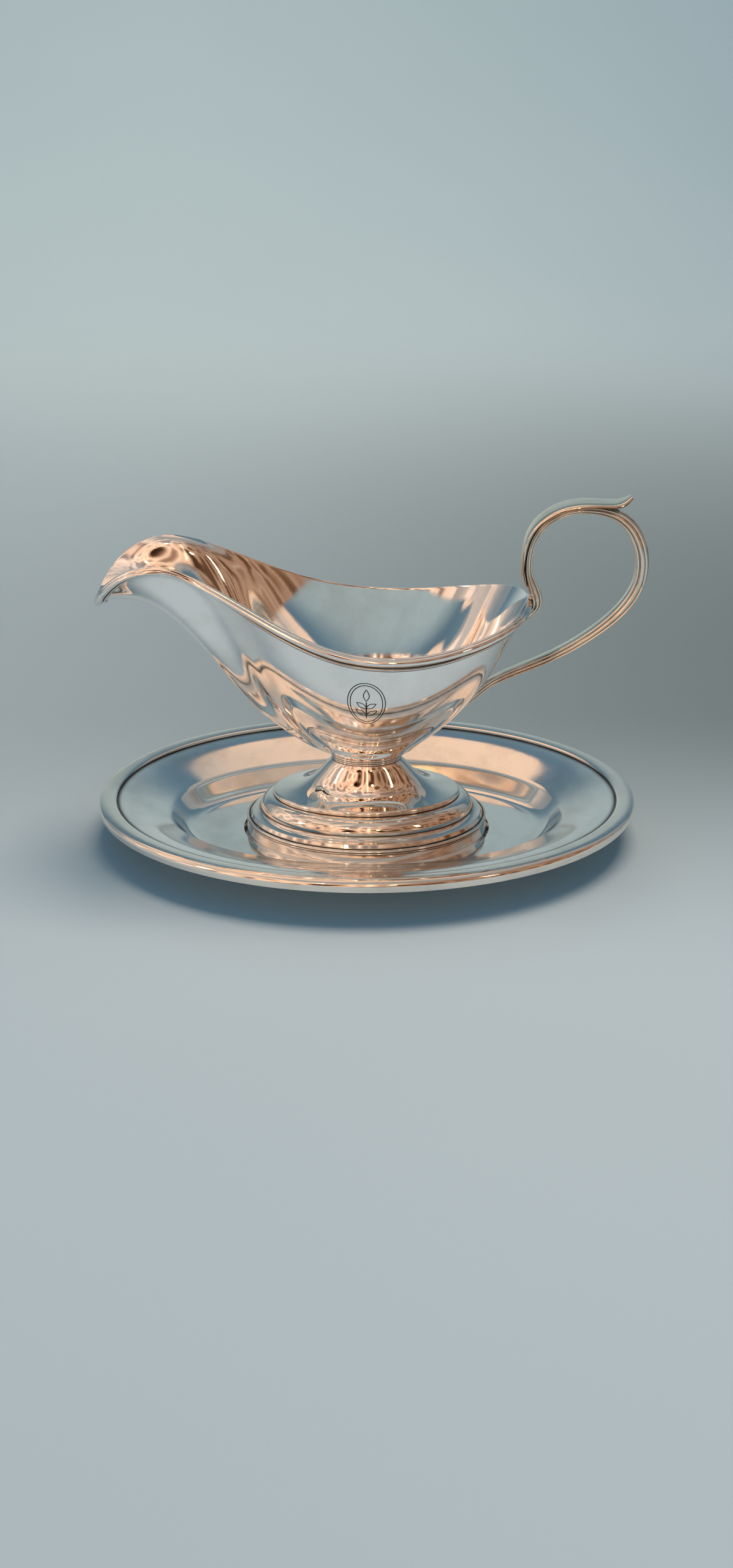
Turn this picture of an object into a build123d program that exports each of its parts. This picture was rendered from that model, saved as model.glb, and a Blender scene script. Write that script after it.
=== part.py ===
from build123d import *
import math
import os

import numpy as np

# Oval silver sauce boat, soldered to its own stand. Millimetres.
# Frame: origin at the middle of the stand's resting face, +Z up, +X towards the handle,
# -X towards the spout. The object is symmetric about the plane y = 0.

# ---------------------------------------------------------------- driving dimensions
STAND_HALF_LENGTH = 112.5
STAND_HALF_WIDTH = 76.4
STAND_SHEET = 1.2
BORDER_WIDTH = 7.7
BORDER_DROP = 4.6
BORDER_LIP = 1.1

FOOT_HALF_LENGTH = 51.3
FOOT_LESS_WIDTH = 16.3
FOOT_WALL = 0.9
APRON_TOP = 7.9
SEAM_WIDTH = 1.0
SEAM_HEIGHT = 0.75

NECK_HALF_LENGTH = 14.2
NECK_HALF_WIDTH = 9.2
COLLAR_BOTTOM = 33.7
COLLAR_REEDS = 3
COLLAR_PROUD = 0.42
COLLAR_WALL = 1.5
BOWL_BOTTOM = 36.1

BOWL_WALL = 1.2
BLEND_LENGTH = 20.0
SPOUT_KEEL = 1.0
HANDLE_KEEL = 1.6
BOWL_RINGS = 16
BOWL_STATIONS = 64
SOLDER_FILM = 0.06

BEAD_DEPTH = 3.0
BEAD_PROUD = 1.6
REED_DEPTH = 1.5
REED_PROUD = 0.85
FILLET_GAP = 0.5
GROOVE_PROUD = 0.25
MOULDING_SECTIONS = 44

HANDLE_HALF_WIDTH = 3.1
HANDLE_SECTIONS = 48
PAD_STATIONS = 16
LEAF_HALF_WIDTH = 5.8
LEAF_THICKNESS = 1.5
LEAF_SECTIONS = 30

# Outer skin of the bowl at its rim, from the spout's lip to the handle end:
# distance along X, half-width, height.
RIM = [
    (-106.3, 0.0, 102.6),
    (-105.9, 7.0, 103.7),
    (-104.4, 13.0, 107.0),
    (-100.0, 17.6, 112.6),
    (-92.0, 20.0, 118.6),
    (-80.0, 21.3, 121.4),
    (-66.0, 23.3, 118.3),
    (-50.0, 27.8, 111.3),
    (-30.0, 34.6, 101.9),
    (-10.0, 39.8, 95.5),
    (8.0, 41.0, 93.4),
    (26.0, 38.6, 94.2),
    (42.0, 33.0, 97.0),
    (54.0, 25.0, 100.0),
    (61.5, 14.0, 102.4),
    (64.0, 0.0, 103.5),
]

# Profiles of the bowl from its bottom ring to the rim: distance from the middle, height.
SPOUT_PROFILE = [
    (14.2, 36.1),
    (20.8, 39.2),
    (29.5, 45.1),
    (38.7, 52.9),
    (47.8, 63.0),
    (57.0, 75.4),
    (66.3, 87.0),
    (75.6, 96.1),
    (85.5, 102.2),
    (96.0, 104.1),
    (106.3, 102.6),
]
SIDE_PROFILE = [
    (9.2, 36.1),
    (14.3, 38.5),
    (19.8, 42.7),
    (25.5, 48.5),
    (30.9, 56.3),
    (35.4, 65.8),
    (38.8, 78.0),
    (41.0, 93.4),
]
HANDLE_PROFILE = [
    (14.2, 36.1),
    (19.6, 39.6),
    (24.6, 45.2),
    (30.4, 51.1),
    (36.8, 57.4),
    (43.2, 64.7),
    (48.8, 72.9),
    (53.6, 81.8),
    (57.9, 91.0),
    (64.0, 103.5),
]

# Middle line of the handle in the plane y = 0, from the heel on the rim, over the top
# and down to the bowl's back: distance along X, height, depth of the bar.
HANDLE = [
    (63.4, 95.8, 2.4),
    (65.8, 98.6, 3.8),
    (66.9, 101.4, 4.6),
    (66.4, 104.8, 4.8),
    (64.8, 109.2, 4.0),
    (63.3, 113.4, 3.2),
    (62.9, 118.0, 3.1),
    (63.4, 123.5, 3.1),
    (65.4, 129.2, 3.1),
    (69.9, 134.5, 3.1),
    (77.0, 138.0, 3.2),
    (86.0, 138.8, 3.6),
    (93.5, 137.4, 4.2),
    (100.4, 133.2, 5.0),
    (105.3, 125.5, 5.4),
    (107.2, 116.5, 5.4),
    (105.7, 107.0, 5.4),
    (101.0, 99.0, 5.2),
    (92.0, 90.3, 4.6),
    (81.5, 82.9, 4.2),
    (70.5, 77.0, 3.9),
    (60.0, 72.4, 3.6),
    (50.2, 67.2, 3.1),
    (44.7, 62.4, 2.7),
    (40.2, 58.1, 2.1),
    (35.8, 53.9, 1.2),
]

# Middle line of the thumb leaf, which lies on the handle and lifts off it at its tip:
# distance along X, height, half-width as a share of LEAF_HALF_WIDTH.
LEAF = [
    (60.9, 112.6, 0.30),
    (60.5, 117.5, 0.50),
    (60.9, 123.9, 0.64),
    (63.1, 130.8, 0.78),
    (68.3, 136.7, 0.90),
    (76.4, 140.6, 1.00),
    (86.0, 141.6, 1.00),
    (93.0, 141.3, 0.92),
    (97.6, 141.9, 0.74),
    (100.8, 143.9, 0.36),
]

os.makedirs("parts", exist_ok=True)


# ---------------------------------------------------------------- curves and surfaces
def cubic(points, closed=False):
    """Return a function of 0..1 that runs smoothly through the points."""
    knots = np.array(points, dtype=float)
    if closed:
        knots = np.vstack([knots, knots[:1]])
    step = np.linalg.norm(np.diff(knots[:, :3], axis=0), axis=1)
    count = len(step)
    slope_in = np.diff(knots, axis=0) / step[:, None]
    size = count if closed else count + 1
    matrix = np.zeros((size, size))
    right = np.zeros((size, knots.shape[1]))
    for i in range(size):
        before = (i - 1) % count
        after = i % count
        if not closed and i == 0:
            matrix[i, 0], matrix[i, 1] = 2.0, 1.0
            right[i] = 3.0 * slope_in[0]
        elif not closed and i == count:
            matrix[i, count - 1], matrix[i, count] = 1.0, 2.0
            right[i] = 3.0 * slope_in[-1]
        else:
            matrix[i, before if closed else i - 1] += 1.0 / step[before]
            matrix[i, i] += 2.0 / step[before] + 2.0 / step[after]
            matrix[i, (i + 1) % size if closed else i + 1] += 1.0 / step[after]
            right[i] = 3.0 * (slope_in[before] / step[before] + slope_in[after] / step[after])
    tangent = np.linalg.solve(matrix, right)
    if closed:
        tangent = np.vstack([tangent, tangent[:1]])
    at = np.concatenate([[0.0], np.cumsum(step)])

    def value(share):
        along = (share % 1.0 if closed else min(max(share, 0.0), 1.0)) * at[-1]
        i = min(int(np.searchsorted(at, along, side="right")) - 1, count - 1)
        h = step[i]
        t = (along - at[i]) / h
        return (
            (2 * t**3 - 3 * t**2 + 1) * knots[i]
            + (t**3 - 2 * t**2 + t) * h * tangent[i]
            + (3 * t**2 - 2 * t**3) * knots[i + 1]
            + (t**3 - t**2) * h * tangent[i + 1]
        )

    return value


def mirrored(half):
    """Close the half outline with its mirror image in the plane y = 0."""
    near = [(x, -w, z) for x, w, z in half]
    far = [(x, w, z) for x, w, z in half[-2:0:-1]]
    return near + far


rim_curve = cubic(mirrored(RIM), closed=True)
spout_curve = cubic(SPOUT_PROFILE)
side_curve = cubic(SIDE_PROFILE)
handle_end_curve = cubic(HANDLE_PROFILE)
WIDEST = max(width for _, width, _ in RIM)


def share_of(curve, t):
    """Normalised reach and rise of a profile."""
    first, last = curve(0.0), curve(1.0)
    return (curve(t) - first) / (last - first)


def bowl_skin(s, t):
    """Point on the bowl's outer skin: s runs once round the rim, t from the bottom to the rim."""
    top = rim_curve(s)
    to_spout = 0.5 * (1 - math.tanh(top[0] / BLEND_LENGTH))
    reach = -RIM[0][0] * to_spout + RIM[-1][0] * (1 - to_spout)
    angle = math.atan2(top[1] / WIDEST, top[0] / reach)
    foot = np.array([NECK_HALF_LENGTH * math.cos(angle), NECK_HALF_WIDTH * math.sin(angle), BOWL_BOTTOM])
    end_share = to_spout * share_of(spout_curve, t) + (1 - to_spout) * share_of(handle_end_curve, t)
    keel = SPOUT_KEEL * to_spout + HANDLE_KEEL * (1 - to_spout)
    ends = keel * math.cos(angle) ** 2
    ends /= 1 - math.cos(angle) ** 2 + ends
    reach_share, rise_share = ends * end_share + (1 - ends) * share_of(side_curve, t)
    return foot + (top - foot) * np.array([reach_share, reach_share, rise_share])


def bowl_normal(s, t, small=1e-3):
    """Outward unit normal of the outer skin."""
    low, high = max(t - small, 0.0), min(t + small, 1.0)
    around = bowl_skin(s + small, t) - bowl_skin(s - small, t)
    up = bowl_skin(s, high) - bowl_skin(s, low)
    normal = np.cross(around, up)
    return normal / np.linalg.norm(normal)


def bowl_inside(s, t):
    """Point on the bowl's inner skin."""
    if t == 0.0:
        return bowl_skin(s, 0.0) + np.array([0.0, 0.0, BOWL_WALL])
    return bowl_skin(s, t) - BOWL_WALL * bowl_normal(s, t)


def on_rim(s, drop, proud):
    """Point at a distance below the rim along the skin, and at a distance outside the skin."""
    length = np.linalg.norm(bowl_skin(s, 1.0) - bowl_skin(s, 0.98)) / 0.02
    t = 1.0 - drop / length
    return bowl_skin(s, t) + proud * bowl_normal(s, t)


# ---------------------------------------------------------------- solids
def closed_ring(points):
    return Wire([Edge.make_spline([Vector(*p) for p in points], periodic=True)])


def solid_of(faces):
    return Solid(Shell(faces))


def oval(row):
    half_length, half_width, height = row
    return Wire([Edge.make_ellipse(half_length, half_width, plane=Plane.XY.offset(height))])


def oval_body(segments):
    """Solid between ovals: each segment is a list of (half-length, half-width, height) rows."""
    faces = []
    for rows in segments:
        faces += Shell.make_loft([oval(row) for row in rows], ruled=len(rows) == 2).faces()
    first, last = segments[0][0], segments[-1][-1]
    if first != last:
        faces += [Face(oval(first)), Face(oval(last))]
    return solid_of(faces)


def keep(shape, node):
    """Write the piece, without the slivers that a cut may leave beside it."""
    solid = max(shape.solids(), key=lambda piece: piece.volume)
    export_step(solid, f"parts/{node}.step")
    return solid


# ---------------------------------------------------------------- stand
def inset(amount, height):
    return (STAND_HALF_LENGTH - amount, STAND_HALF_WIDTH - amount, height)


# Top face of the stand's sheet: distance in from the edge, height.
EDGE_SEAT = [(1.2, 17.3), (7.7, 16.9)]
FLANGE = [(7.7, 16.9), (13.0, 15.7), (19.0, 13.6), (24.5, 11.4), (28.3, 9.9)]
WELL = [(28.3, 9.9), (29.6, 9.1), (30.7, 7.9), (33.2, 4.9), (35.6, 2.5), (37.6, 1.5), (40.0, 1.2)]


def make_stand_plate():
    seat = [inset(*row) for row in EDGE_SEAT]
    top = [inset(*row) for row in FLANGE]
    well = [inset(*row) for row in WELL]
    under_edge = inset(EDGE_SEAT[0][0], EDGE_SEAT[0][1] - STAND_SHEET)
    under_flange = [inset(k + 0.2 * STAND_SHEET, z - STAND_SHEET) for k, z in FLANGE]
    under_well = [inset(k + 0.6 * STAND_SHEET, z - 0.85 * STAND_SHEET) for k, z in WELL[1:-2]]
    under_well = under_flange[-1:] + under_well + [inset(37.9, 0.25), inset(40.0, 0.0)]
    return oval_body([
        well[::-1],
        top[::-1],
        seat[::-1],
        [seat[0], under_edge],
        [under_edge, under_flange[0]],
        under_flange,
        under_well,
    ])


def make_stand_border():
    inner = (BORDER_WIDTH, EDGE_SEAT[1][1] + SOLDER_FILM)
    seat_height = EDGE_SEAT[0][1] + SOLDER_FILM
    crown = [inner, (7.3, 17.5), (5.6, 18.25), (3.4, 18.5), (1.4, 18.1), (0.3, 17.2), (0.0, 16.2)]
    bottom = 18.5 - BORDER_DROP
    skirt = [(0.0, 16.2), (0.25, bottom)]
    return oval_body([
        [inset(*row) for row in crown],
        [inset(*row) for row in skirt],
        [inset(*skirt[1]), inset(BORDER_LIP, bottom)],
        [inset(BORDER_LIP, bottom), inset(BORDER_LIP, seat_height)],
        [inset(BORDER_LIP, seat_height), inset(*inner)],
    ])


# ---------------------------------------------------------------- foot
def foot_row(half_length, height):
    """Oval of the foot; the cone above the disc narrows towards the rounder neck."""
    disc = 38.2
    if half_length >= disc:
        return (half_length, half_length - FOOT_LESS_WIDTH, height)
    share = (half_length - NECK_HALF_LENGTH) / (disc - NECK_HALF_LENGTH)
    return (half_length, NECK_HALF_WIDTH + share * (disc - FOOT_LESS_WIDTH - NECK_HALF_WIDTH), height)


def foot_rows(rows):
    return [foot_row(*row) for row in rows]


def make_foot_apron():
    base = FOOT_HALF_LENGTH
    top = APRON_TOP
    floor = STAND_SHEET
    outside = [(base, floor), (base - 0.2, floor + 0.8), (base - 0.8, top - 1.9)]
    lower_line = [(base - 0.8, top - 1.9), (base - 0.45, top - 1.55), (base - 0.8, top - 1.2)]
    bead = [(base - 0.8, top - 1.2), (base - 0.5, top - 0.6), (base - 1.2, top)]
    inside = base - 0.8 - FOOT_WALL
    return oval_body([
        foot_rows(outside),
        foot_rows(lower_line),
        foot_rows(bead),
        foot_rows([(base - 1.2, top), (inside, top)]),
        foot_rows([(inside, top), (inside, floor)]),
        foot_rows([(inside, floor), (base, floor)]),
    ])


def make_foot_shell():
    sill = [(49.5, 7.95), (48.3, 9.5)]
    hollow = [(48.3, 9.5), (46.9, 9.75), (45.6, 10.3), (44.8, 11.2)]
    round_band = [(44.8, 11.2), (44.6, 12.9), (43.4, 15.0), (41.4, 16.6), (39.0, 17.2)]
    disc_edge = [(39.0, 17.2), (39.35, 18.1), (39.0, 19.0), (38.2, 19.4)]
    cone = [
        (38.2, 19.4), (33.0, 20.3), (28.2, 21.7), (24.0, 23.9), (20.6, 26.8), (17.9, 29.9),
        (15.9, 32.2), (NECK_HALF_LENGTH, COLLAR_BOTTOM),
    ]
    wall = FOOT_WALL
    inner_cone = [
        (NECK_HALF_LENGTH - 1.6 * wall, COLLAR_BOTTOM), (17.2 - wall, 29.3), (19.9 - wall, 26.1),
        (23.5 - wall, 23.2), (28.0 - wall, 20.8), (33.0 - wall, 19.3), (37.6 - wall, 18.4),
    ]
    inner_band = [
        inner_cone[-1], (41.2 - wall, 15.6), (43.2 - wall, 13.8), (44.2 - wall, 11.6),
        (45.6 - wall, 9.6), (47.6 - wall, 8.5),
    ]
    return oval_body([
        foot_rows(sill),
        foot_rows(hollow),
        foot_rows(round_band),
        foot_rows(disc_edge),
        foot_rows(cone),
        foot_rows([cone[-1], inner_cone[0]]),
        foot_rows(inner_cone),
        foot_rows(inner_band),
        foot_rows([inner_band[-1], (47.6 - wall, 7.95)]),
        foot_rows([(47.6 - wall, 7.95), sill[0]]),
    ])


def make_foot_solder():
    """Fillet of solder in the corner between the foot and the stand."""
    base = FOOT_HALF_LENGTH
    floor = STAND_SHEET
    corners = [(base + 0.02, floor), (base + SEAM_WIDTH, floor), (base - 0.1, floor + SEAM_HEIGHT)]
    return oval_body([foot_rows([corners[i - 1], corners[i]]) for i in range(3)])


def make_neck_collar():
    """Fine reeds round the neck, hiding the joint of foot and bowl."""
    reed_height = (BOWL_BOTTOM - COLLAR_BOTTOM) / COLLAR_REEDS
    segments = []
    for i in range(COLLAR_REEDS):
        low = COLLAR_BOTTOM + i * reed_height
        rows = [(0.0, 0.05), (COLLAR_PROUD, 0.5), (0.0, 0.95)]
        segments.append([
            (NECK_HALF_LENGTH + out, NECK_HALF_WIDTH + out, low + share * reed_height)
            for out, share in rows
        ])
        if i < COLLAR_REEDS - 1:
            next_low = low + 1.05 * reed_height
            segments.append([segments[-1][-1], (NECK_HALF_LENGTH, NECK_HALF_WIDTH, next_low)])
    inner = (NECK_HALF_LENGTH - COLLAR_WALL, NECK_HALF_WIDTH - COLLAR_WALL)
    first, last = segments[0][0], segments[-1][-1]
    segments.append([last, (*inner, last[2])])
    segments.append([(*inner, last[2]), (*inner, first[2])])
    segments.append([(*inner, first[2]), first])
    return oval_body(segments)


def make_neck_solder():
    """Solder plug inside the collar, between the foot's open top and the bowl's bottom."""
    inside = COLLAR_WALL + 0.05
    half_length = NECK_HALF_LENGTH - inside
    half_width = NECK_HALF_WIDTH - inside
    return oval_body([[
        (half_length, half_width, COLLAR_BOTTOM + 0.2),
        (half_length, half_width, BOWL_BOTTOM - 0.02),
    ]])


# ---------------------------------------------------------------- bowl
def make_bowl_shell():
    around = [i / BOWL_STATIONS for i in range(BOWL_STATIONS)]
    levels = [j / (BOWL_RINGS - 1) for j in range(BOWL_RINGS)]
    outside = [closed_ring([bowl_skin(s, t) for s in around]) for t in levels]
    inside = [closed_ring([bowl_inside(s, t) for s in around]) for t in levels]
    faces = []
    faces += Shell.make_loft(outside).faces()
    faces += Shell.make_loft(inside).faces()
    faces += Shell.make_loft([outside[-1], inside[-1]], ruled=True).faces()
    faces += [Face(outside[0]), Face(inside[0])]
    return solid_of(faces)


def half_round(s, start, depth, proud, steps):
    """Points over a half-round strip that begins at a distance below the rim."""
    points = []
    for i in range(steps + 1):
        angle = math.pi * i / steps
        drop = start + 0.5 * depth * (1 - math.cos(angle))
        points.append(on_rim(s, drop, GROOVE_PROUD + (proud - GROOVE_PROUD) * math.sin(angle)))
    return points


def moulding_section(s):
    """Half-round bead at the rim and a fine reed under it, lying on the bowl's outer skin."""
    start = BEAD_DEPTH + FILLET_GAP
    width = start + REED_DEPTH
    bead = half_round(s, 0.0, BEAD_DEPTH, BEAD_PROUD, 8)
    reed = half_round(s, start, REED_DEPTH, REED_PROUD, 6)
    back = [on_rim(s, width * share, SOLDER_FILM) for share in (1.0, 0.67, 0.33, 0.0)]
    edges = [
        Edge.make_spline([Vector(*p) for p in bead]),
        Edge.make_line(Vector(*bead[-1]), Vector(*reed[0])),
        Edge.make_spline([Vector(*p) for p in reed]),
        Edge.make_line(Vector(*reed[-1]), Vector(*back[0])),
        Edge.make_spline([Vector(*p) for p in back]),
        Edge.make_line(Vector(*back[-1]), Vector(*bead[0])),
    ]
    return Wire(edges)


def make_rim_moulding():
    """The strip along the near side of the rim, from the spout's lip to the handle."""
    shares = [0.5 * i / MOULDING_SECTIONS for i in range(MOULDING_SECTIONS + 1)]
    return Solid.make_loft([moulding_section(s) for s in shares])


# ---------------------------------------------------------------- handle
def bar_frame(curve, share):
    """Middle point, outward direction in the plane y = 0 and the curve's own third value."""
    small = 1e-3
    here = curve(share)
    ahead = curve(share + small) - curve(share - small)
    tangent = np.array([ahead[0], 0.0, ahead[1]])
    tangent /= np.linalg.norm(tangent)
    outward = np.array([-tangent[2], 0.0, tangent[0]])
    return np.array([here[0], 0.0, here[1]]), outward, here[2]


def handle_section(curve, share):
    """Bar with a rounded back rib between two flutes and a rounded belly."""
    middle, outward, depth = bar_frame(curve, share)
    half = 0.5 * depth
    wide = HANDLE_HALF_WIDTH * (0.55 + 0.45 * min(1.0, depth / 4.0))

    def at(across, out):
        return Vector(*(middle + np.array([0.0, across * wide, 0.0]) + out * half * outward))

    rib = [at(-0.34, 0.72), at(0.0, 1.0), at(0.34, 0.72)]
    body = [
        at(0.34, 0.72), at(0.78, 0.66), at(1.0, 0.1), at(0.74, -0.62), at(0.0, -1.0),
        at(-0.74, -0.62), at(-1.0, 0.1), at(-0.78, 0.66), at(-0.34, 0.72),
    ]
    return Wire([Edge.make_spline(rib), Edge.make_spline(body)])


def make_handle_loop():
    curve = cubic(HANDLE)
    shares = [i / HANDLE_SECTIONS for i in range(HANDLE_SECTIONS + 1)]
    return Solid.make_loft([handle_section(curve, share) for share in shares])


def leaf_section(curve, share):
    middle, outward, width_share = bar_frame(curve, share)
    wide = LEAF_HALF_WIDTH * width_share
    half = 0.5 * LEAF_THICKNESS

    def at(across, out):
        return Vector(*(middle + np.array([0.0, across * wide, 0.0]) + out * half * outward))

    top = [at(-1.0, 0.15), at(-0.55, 0.8), at(0.0, 1.0), at(0.55, 0.8), at(1.0, 0.15)]
    under = [at(1.0, -0.35), at(0.5, -0.85), at(0.0, -0.95), at(-0.5, -0.85), at(-1.0, -0.35)]
    return Wire([
        Edge.make_spline(top),
        Edge.make_line(top[-1], under[0]),
        Edge.make_spline(under),
        Edge.make_line(under[-1], top[0]),
    ])


def make_thumb_leaf():
    curve = cubic(LEAF)
    shares = [i / LEAF_SECTIONS for i in range(LEAF_SECTIONS + 1)]
    return Solid.make_loft([leaf_section(curve, share) for share in shares])


def pad_ring(low, high, half_width, thickness, size):
    """Ring of an oval plate that lies on the handle end of the bowl's skin."""
    handle_end = 0.5
    step = 1e-3
    points = []
    for i in range(PAD_STATIONS):
        turn = 2 * math.pi * i / PAD_STATIONS
        t = 0.5 * (low + high) + 0.5 * (high - low) * size * math.cos(turn)
        per_mm = step / np.linalg.norm(bowl_skin(handle_end + step, t) - bowl_skin(handle_end, t))
        s = handle_end + size * half_width * math.sin(turn) * per_mm
        points.append(bowl_skin(s, t) + (SOLDER_FILM + thickness * (1 - size**2)) * bowl_normal(s, t))
    return points


def pad(low, high, half_width, thickness):
    """Oval plate on the bowl's back, swelling to its full thickness in the middle."""
    faces = []
    for swell in (0.0, thickness):
        centre = Vertex(*np.mean(pad_ring(low, high, half_width, swell, 0.02), axis=0))
        rings = [closed_ring(pad_ring(low, high, half_width, swell, size)) for size in (0.33, 0.67, 1.0)]
        faces += Shell.make_loft([centre] + rings).faces()
    return solid_of(faces)


# ---------------------------------------------------------------- build
keep(make_stand_plate(), "stand_plate")
keep(make_stand_border(), "stand_border")
keep(make_foot_apron(), "foot_apron")
keep(make_foot_shell(), "foot_shell")
keep(make_foot_solder(), "foot_solder")
keep(make_neck_collar(), "neck_collar")
keep(make_neck_solder(), "neck_solder")
bowl = keep(make_bowl_shell(), "bowl_shell")
near = keep(make_rim_moulding(), "rim_moulding_near")
far = keep(near.mirror(Plane.XZ), "rim_moulding_far")
lower_pad = keep(pad(0.27, 0.49, 4.4, 0.8), "handle_lower_pad")
upper_pad = keep(pad(0.83, 0.935, 3.8, 2.0), "handle_upper_pad")
leaf = keep(make_thumb_leaf(), "thumb_leaf")
loop = make_handle_loop()
for neighbour in (bowl, near, far):
    loop = loop - neighbour
keep(loop, "handle_loop")
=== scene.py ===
"""Looks of an oval silver sauce boat on its stand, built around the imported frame."""
import math

import bmesh
import bpy
import numpy as np
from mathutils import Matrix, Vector


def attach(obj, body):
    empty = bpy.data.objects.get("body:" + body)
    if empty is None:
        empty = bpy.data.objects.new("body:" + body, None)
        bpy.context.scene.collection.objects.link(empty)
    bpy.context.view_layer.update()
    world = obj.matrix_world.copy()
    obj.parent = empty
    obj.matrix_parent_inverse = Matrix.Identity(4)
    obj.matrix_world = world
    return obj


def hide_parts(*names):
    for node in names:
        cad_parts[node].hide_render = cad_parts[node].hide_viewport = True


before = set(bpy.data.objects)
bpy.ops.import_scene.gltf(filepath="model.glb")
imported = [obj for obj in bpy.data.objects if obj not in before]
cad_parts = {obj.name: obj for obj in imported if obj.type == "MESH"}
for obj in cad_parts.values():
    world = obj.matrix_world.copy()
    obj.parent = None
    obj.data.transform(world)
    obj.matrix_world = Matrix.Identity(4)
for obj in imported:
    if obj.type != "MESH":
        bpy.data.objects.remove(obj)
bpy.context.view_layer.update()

MM = 0.001
ROOT = "root"

# ---------------------------------------------------------------- driving dimensions, in mm
# The same values as the CAD source has, so that the smooth pieces lie on their CAD nodes. The leaf,
# the handle's section and the floor inside the bowl have a little more shape than their nodes.
STAND_HALF_LENGTH = 112.5
STAND_HALF_WIDTH = 76.4
STAND_SHEET = 1.2
BORDER_WIDTH = 7.7
BORDER_DROP = 4.6
BORDER_LIP = 1.1
BORDER_TOP = 18.5

FOOT_HALF_LENGTH = 51.3
FOOT_LESS_WIDTH = 16.3
FOOT_WALL = 0.9
DISC_HALF_LENGTH = 38.2
APRON_TOP = 7.9

NECK_HALF_LENGTH = 14.2
NECK_HALF_WIDTH = 9.2
COLLAR_BOTTOM = 33.7
COLLAR_REEDS = 3
COLLAR_PROUD = 0.42
COLLAR_WALL = 1.5
BOWL_BOTTOM = 36.1

BOWL_WALL = 1.2
BLEND_LENGTH = 20.0
SPOUT_KEEL = 1.0
HANDLE_KEEL = 1.6
SOLDER_FILM = 0.06

BEAD_DEPTH = 3.0
BEAD_PROUD = 1.6
REED_DEPTH = 1.5
REED_PROUD = 0.85
FILLET_GAP = 0.5
GROOVE_PROUD = 0.25

HANDLE_HALF_WIDTH = 3.1
LEAF_HALF_WIDTH = 5.8
LEAF_THICKNESS = 1.5

# Bowl's outer skin at the rim: distance along X, half-width, height.
RIM = [
    (-106.3, 0.0, 102.6),
    (-105.9, 7.0, 103.7),
    (-104.4, 13.0, 107.0),
    (-100.0, 17.6, 112.6),
    (-92.0, 20.0, 118.6),
    (-80.0, 21.3, 121.4),
    (-66.0, 23.3, 118.3),
    (-50.0, 27.8, 111.3),
    (-30.0, 34.6, 101.9),
    (-10.0, 39.8, 95.5),
    (8.0, 41.0, 93.4),
    (26.0, 38.6, 94.2),
    (42.0, 33.0, 97.0),
    (54.0, 25.0, 100.0),
    (61.5, 14.0, 102.4),
    (64.0, 0.0, 103.5),
]

# Profiles of the bowl: distance from the middle, height.
SPOUT_PROFILE = [
    (14.2, 36.1),
    (20.8, 39.2),
    (29.5, 45.1),
    (38.7, 52.9),
    (47.8, 63.0),
    (57.0, 75.4),
    (66.3, 87.0),
    (75.6, 96.1),
    (85.5, 102.2),
    (96.0, 104.1),
    (106.3, 102.6),
]
SIDE_PROFILE = [
    (9.2, 36.1),
    (14.3, 38.5),
    (19.8, 42.7),
    (25.5, 48.5),
    (30.9, 56.3),
    (35.4, 65.8),
    (38.8, 78.0),
    (41.0, 93.4),
]
HANDLE_PROFILE = [
    (14.2, 36.1),
    (19.6, 39.6),
    (24.6, 45.2),
    (30.4, 51.1),
    (36.8, 57.4),
    (43.2, 64.7),
    (48.8, 72.9),
    (53.6, 81.8),
    (57.9, 91.0),
    (64.0, 103.5),
]

# Middle line of the handle: distance along X, height, depth of the bar.
HANDLE = [
    (63.4, 95.8, 2.4),
    (65.8, 98.6, 3.8),
    (66.9, 101.4, 4.6),
    (66.4, 104.8, 4.8),
    (64.8, 109.2, 4.0),
    (63.3, 113.4, 3.2),
    (62.9, 118.0, 3.1),
    (63.4, 123.5, 3.1),
    (65.4, 129.2, 3.1),
    (69.9, 134.5, 3.1),
    (77.0, 138.0, 3.2),
    (86.0, 138.8, 3.6),
    (93.5, 137.4, 4.2),
    (100.4, 133.2, 5.0),
    (105.3, 125.5, 5.4),
    (107.2, 116.5, 5.4),
    (105.7, 107.0, 5.4),
    (101.0, 99.0, 5.2),
    (92.0, 90.3, 4.6),
    (81.5, 82.9, 4.2),
    (70.5, 77.0, 3.9),
    (60.0, 72.4, 3.6),
    (50.2, 67.2, 3.1),
    (44.7, 62.4, 2.7),
    (40.2, 58.1, 2.1),
    (35.8, 53.9, 1.2),
]

# Middle line of the thumb leaf: distance along X, height, half-width as a share.
LEAF = [
    (60.9, 112.6, 0.30),
    (60.5, 117.5, 0.50),
    (60.9, 123.9, 0.64),
    (63.1, 130.8, 0.78),
    (68.3, 136.7, 0.90),
    (76.4, 140.6, 1.00),
    (86.0, 141.6, 1.00),
    (93.0, 141.3, 0.92),
    (97.6, 141.9, 0.74),
    (100.8, 143.9, 0.36),
]

# The visible leaf also has a thin tail, which runs down beside the bar towards the rim.
LEAF_TAIL = (63.0, 107.6, 0.08)

# ---------------------------------------------------------------- mesh density
AROUND_OVAL = 320
ROW_STEP = 0.45
FEWEST_ROWS = 7
CORNER_POINTS = 6
BOWL_AROUND = 400
BOWL_ROWS = 110
MOULDING_ALONG = 360
BEAD_AROUND = 21
REED_AROUND = 15
MOULDING_BACK = 6
HANDLE_ALONG = 420
HANDLE_AROUND = 120
LEAF_ALONG = 160
LEAF_ACROSS = 33

# Rounding of an outline's corners in mm, and the longest share of a stretch that it takes.
CORNER_ROUND = 0.22
CORNER_SHARE = 0.4

# Edges that turn by more than this many degrees stay sharp.
SHARP_ANGLE = 38.0

# ---------------------------------------------------------------- camera
# Metres back and up from the origin, degrees down from level, and millimetres of lens.
CAMERA_BACK = 0.506
CAMERA_HEIGHT = 0.280
CAMERA_DOWN = 27.12
CAMERA_LENS = 30.94


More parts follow.
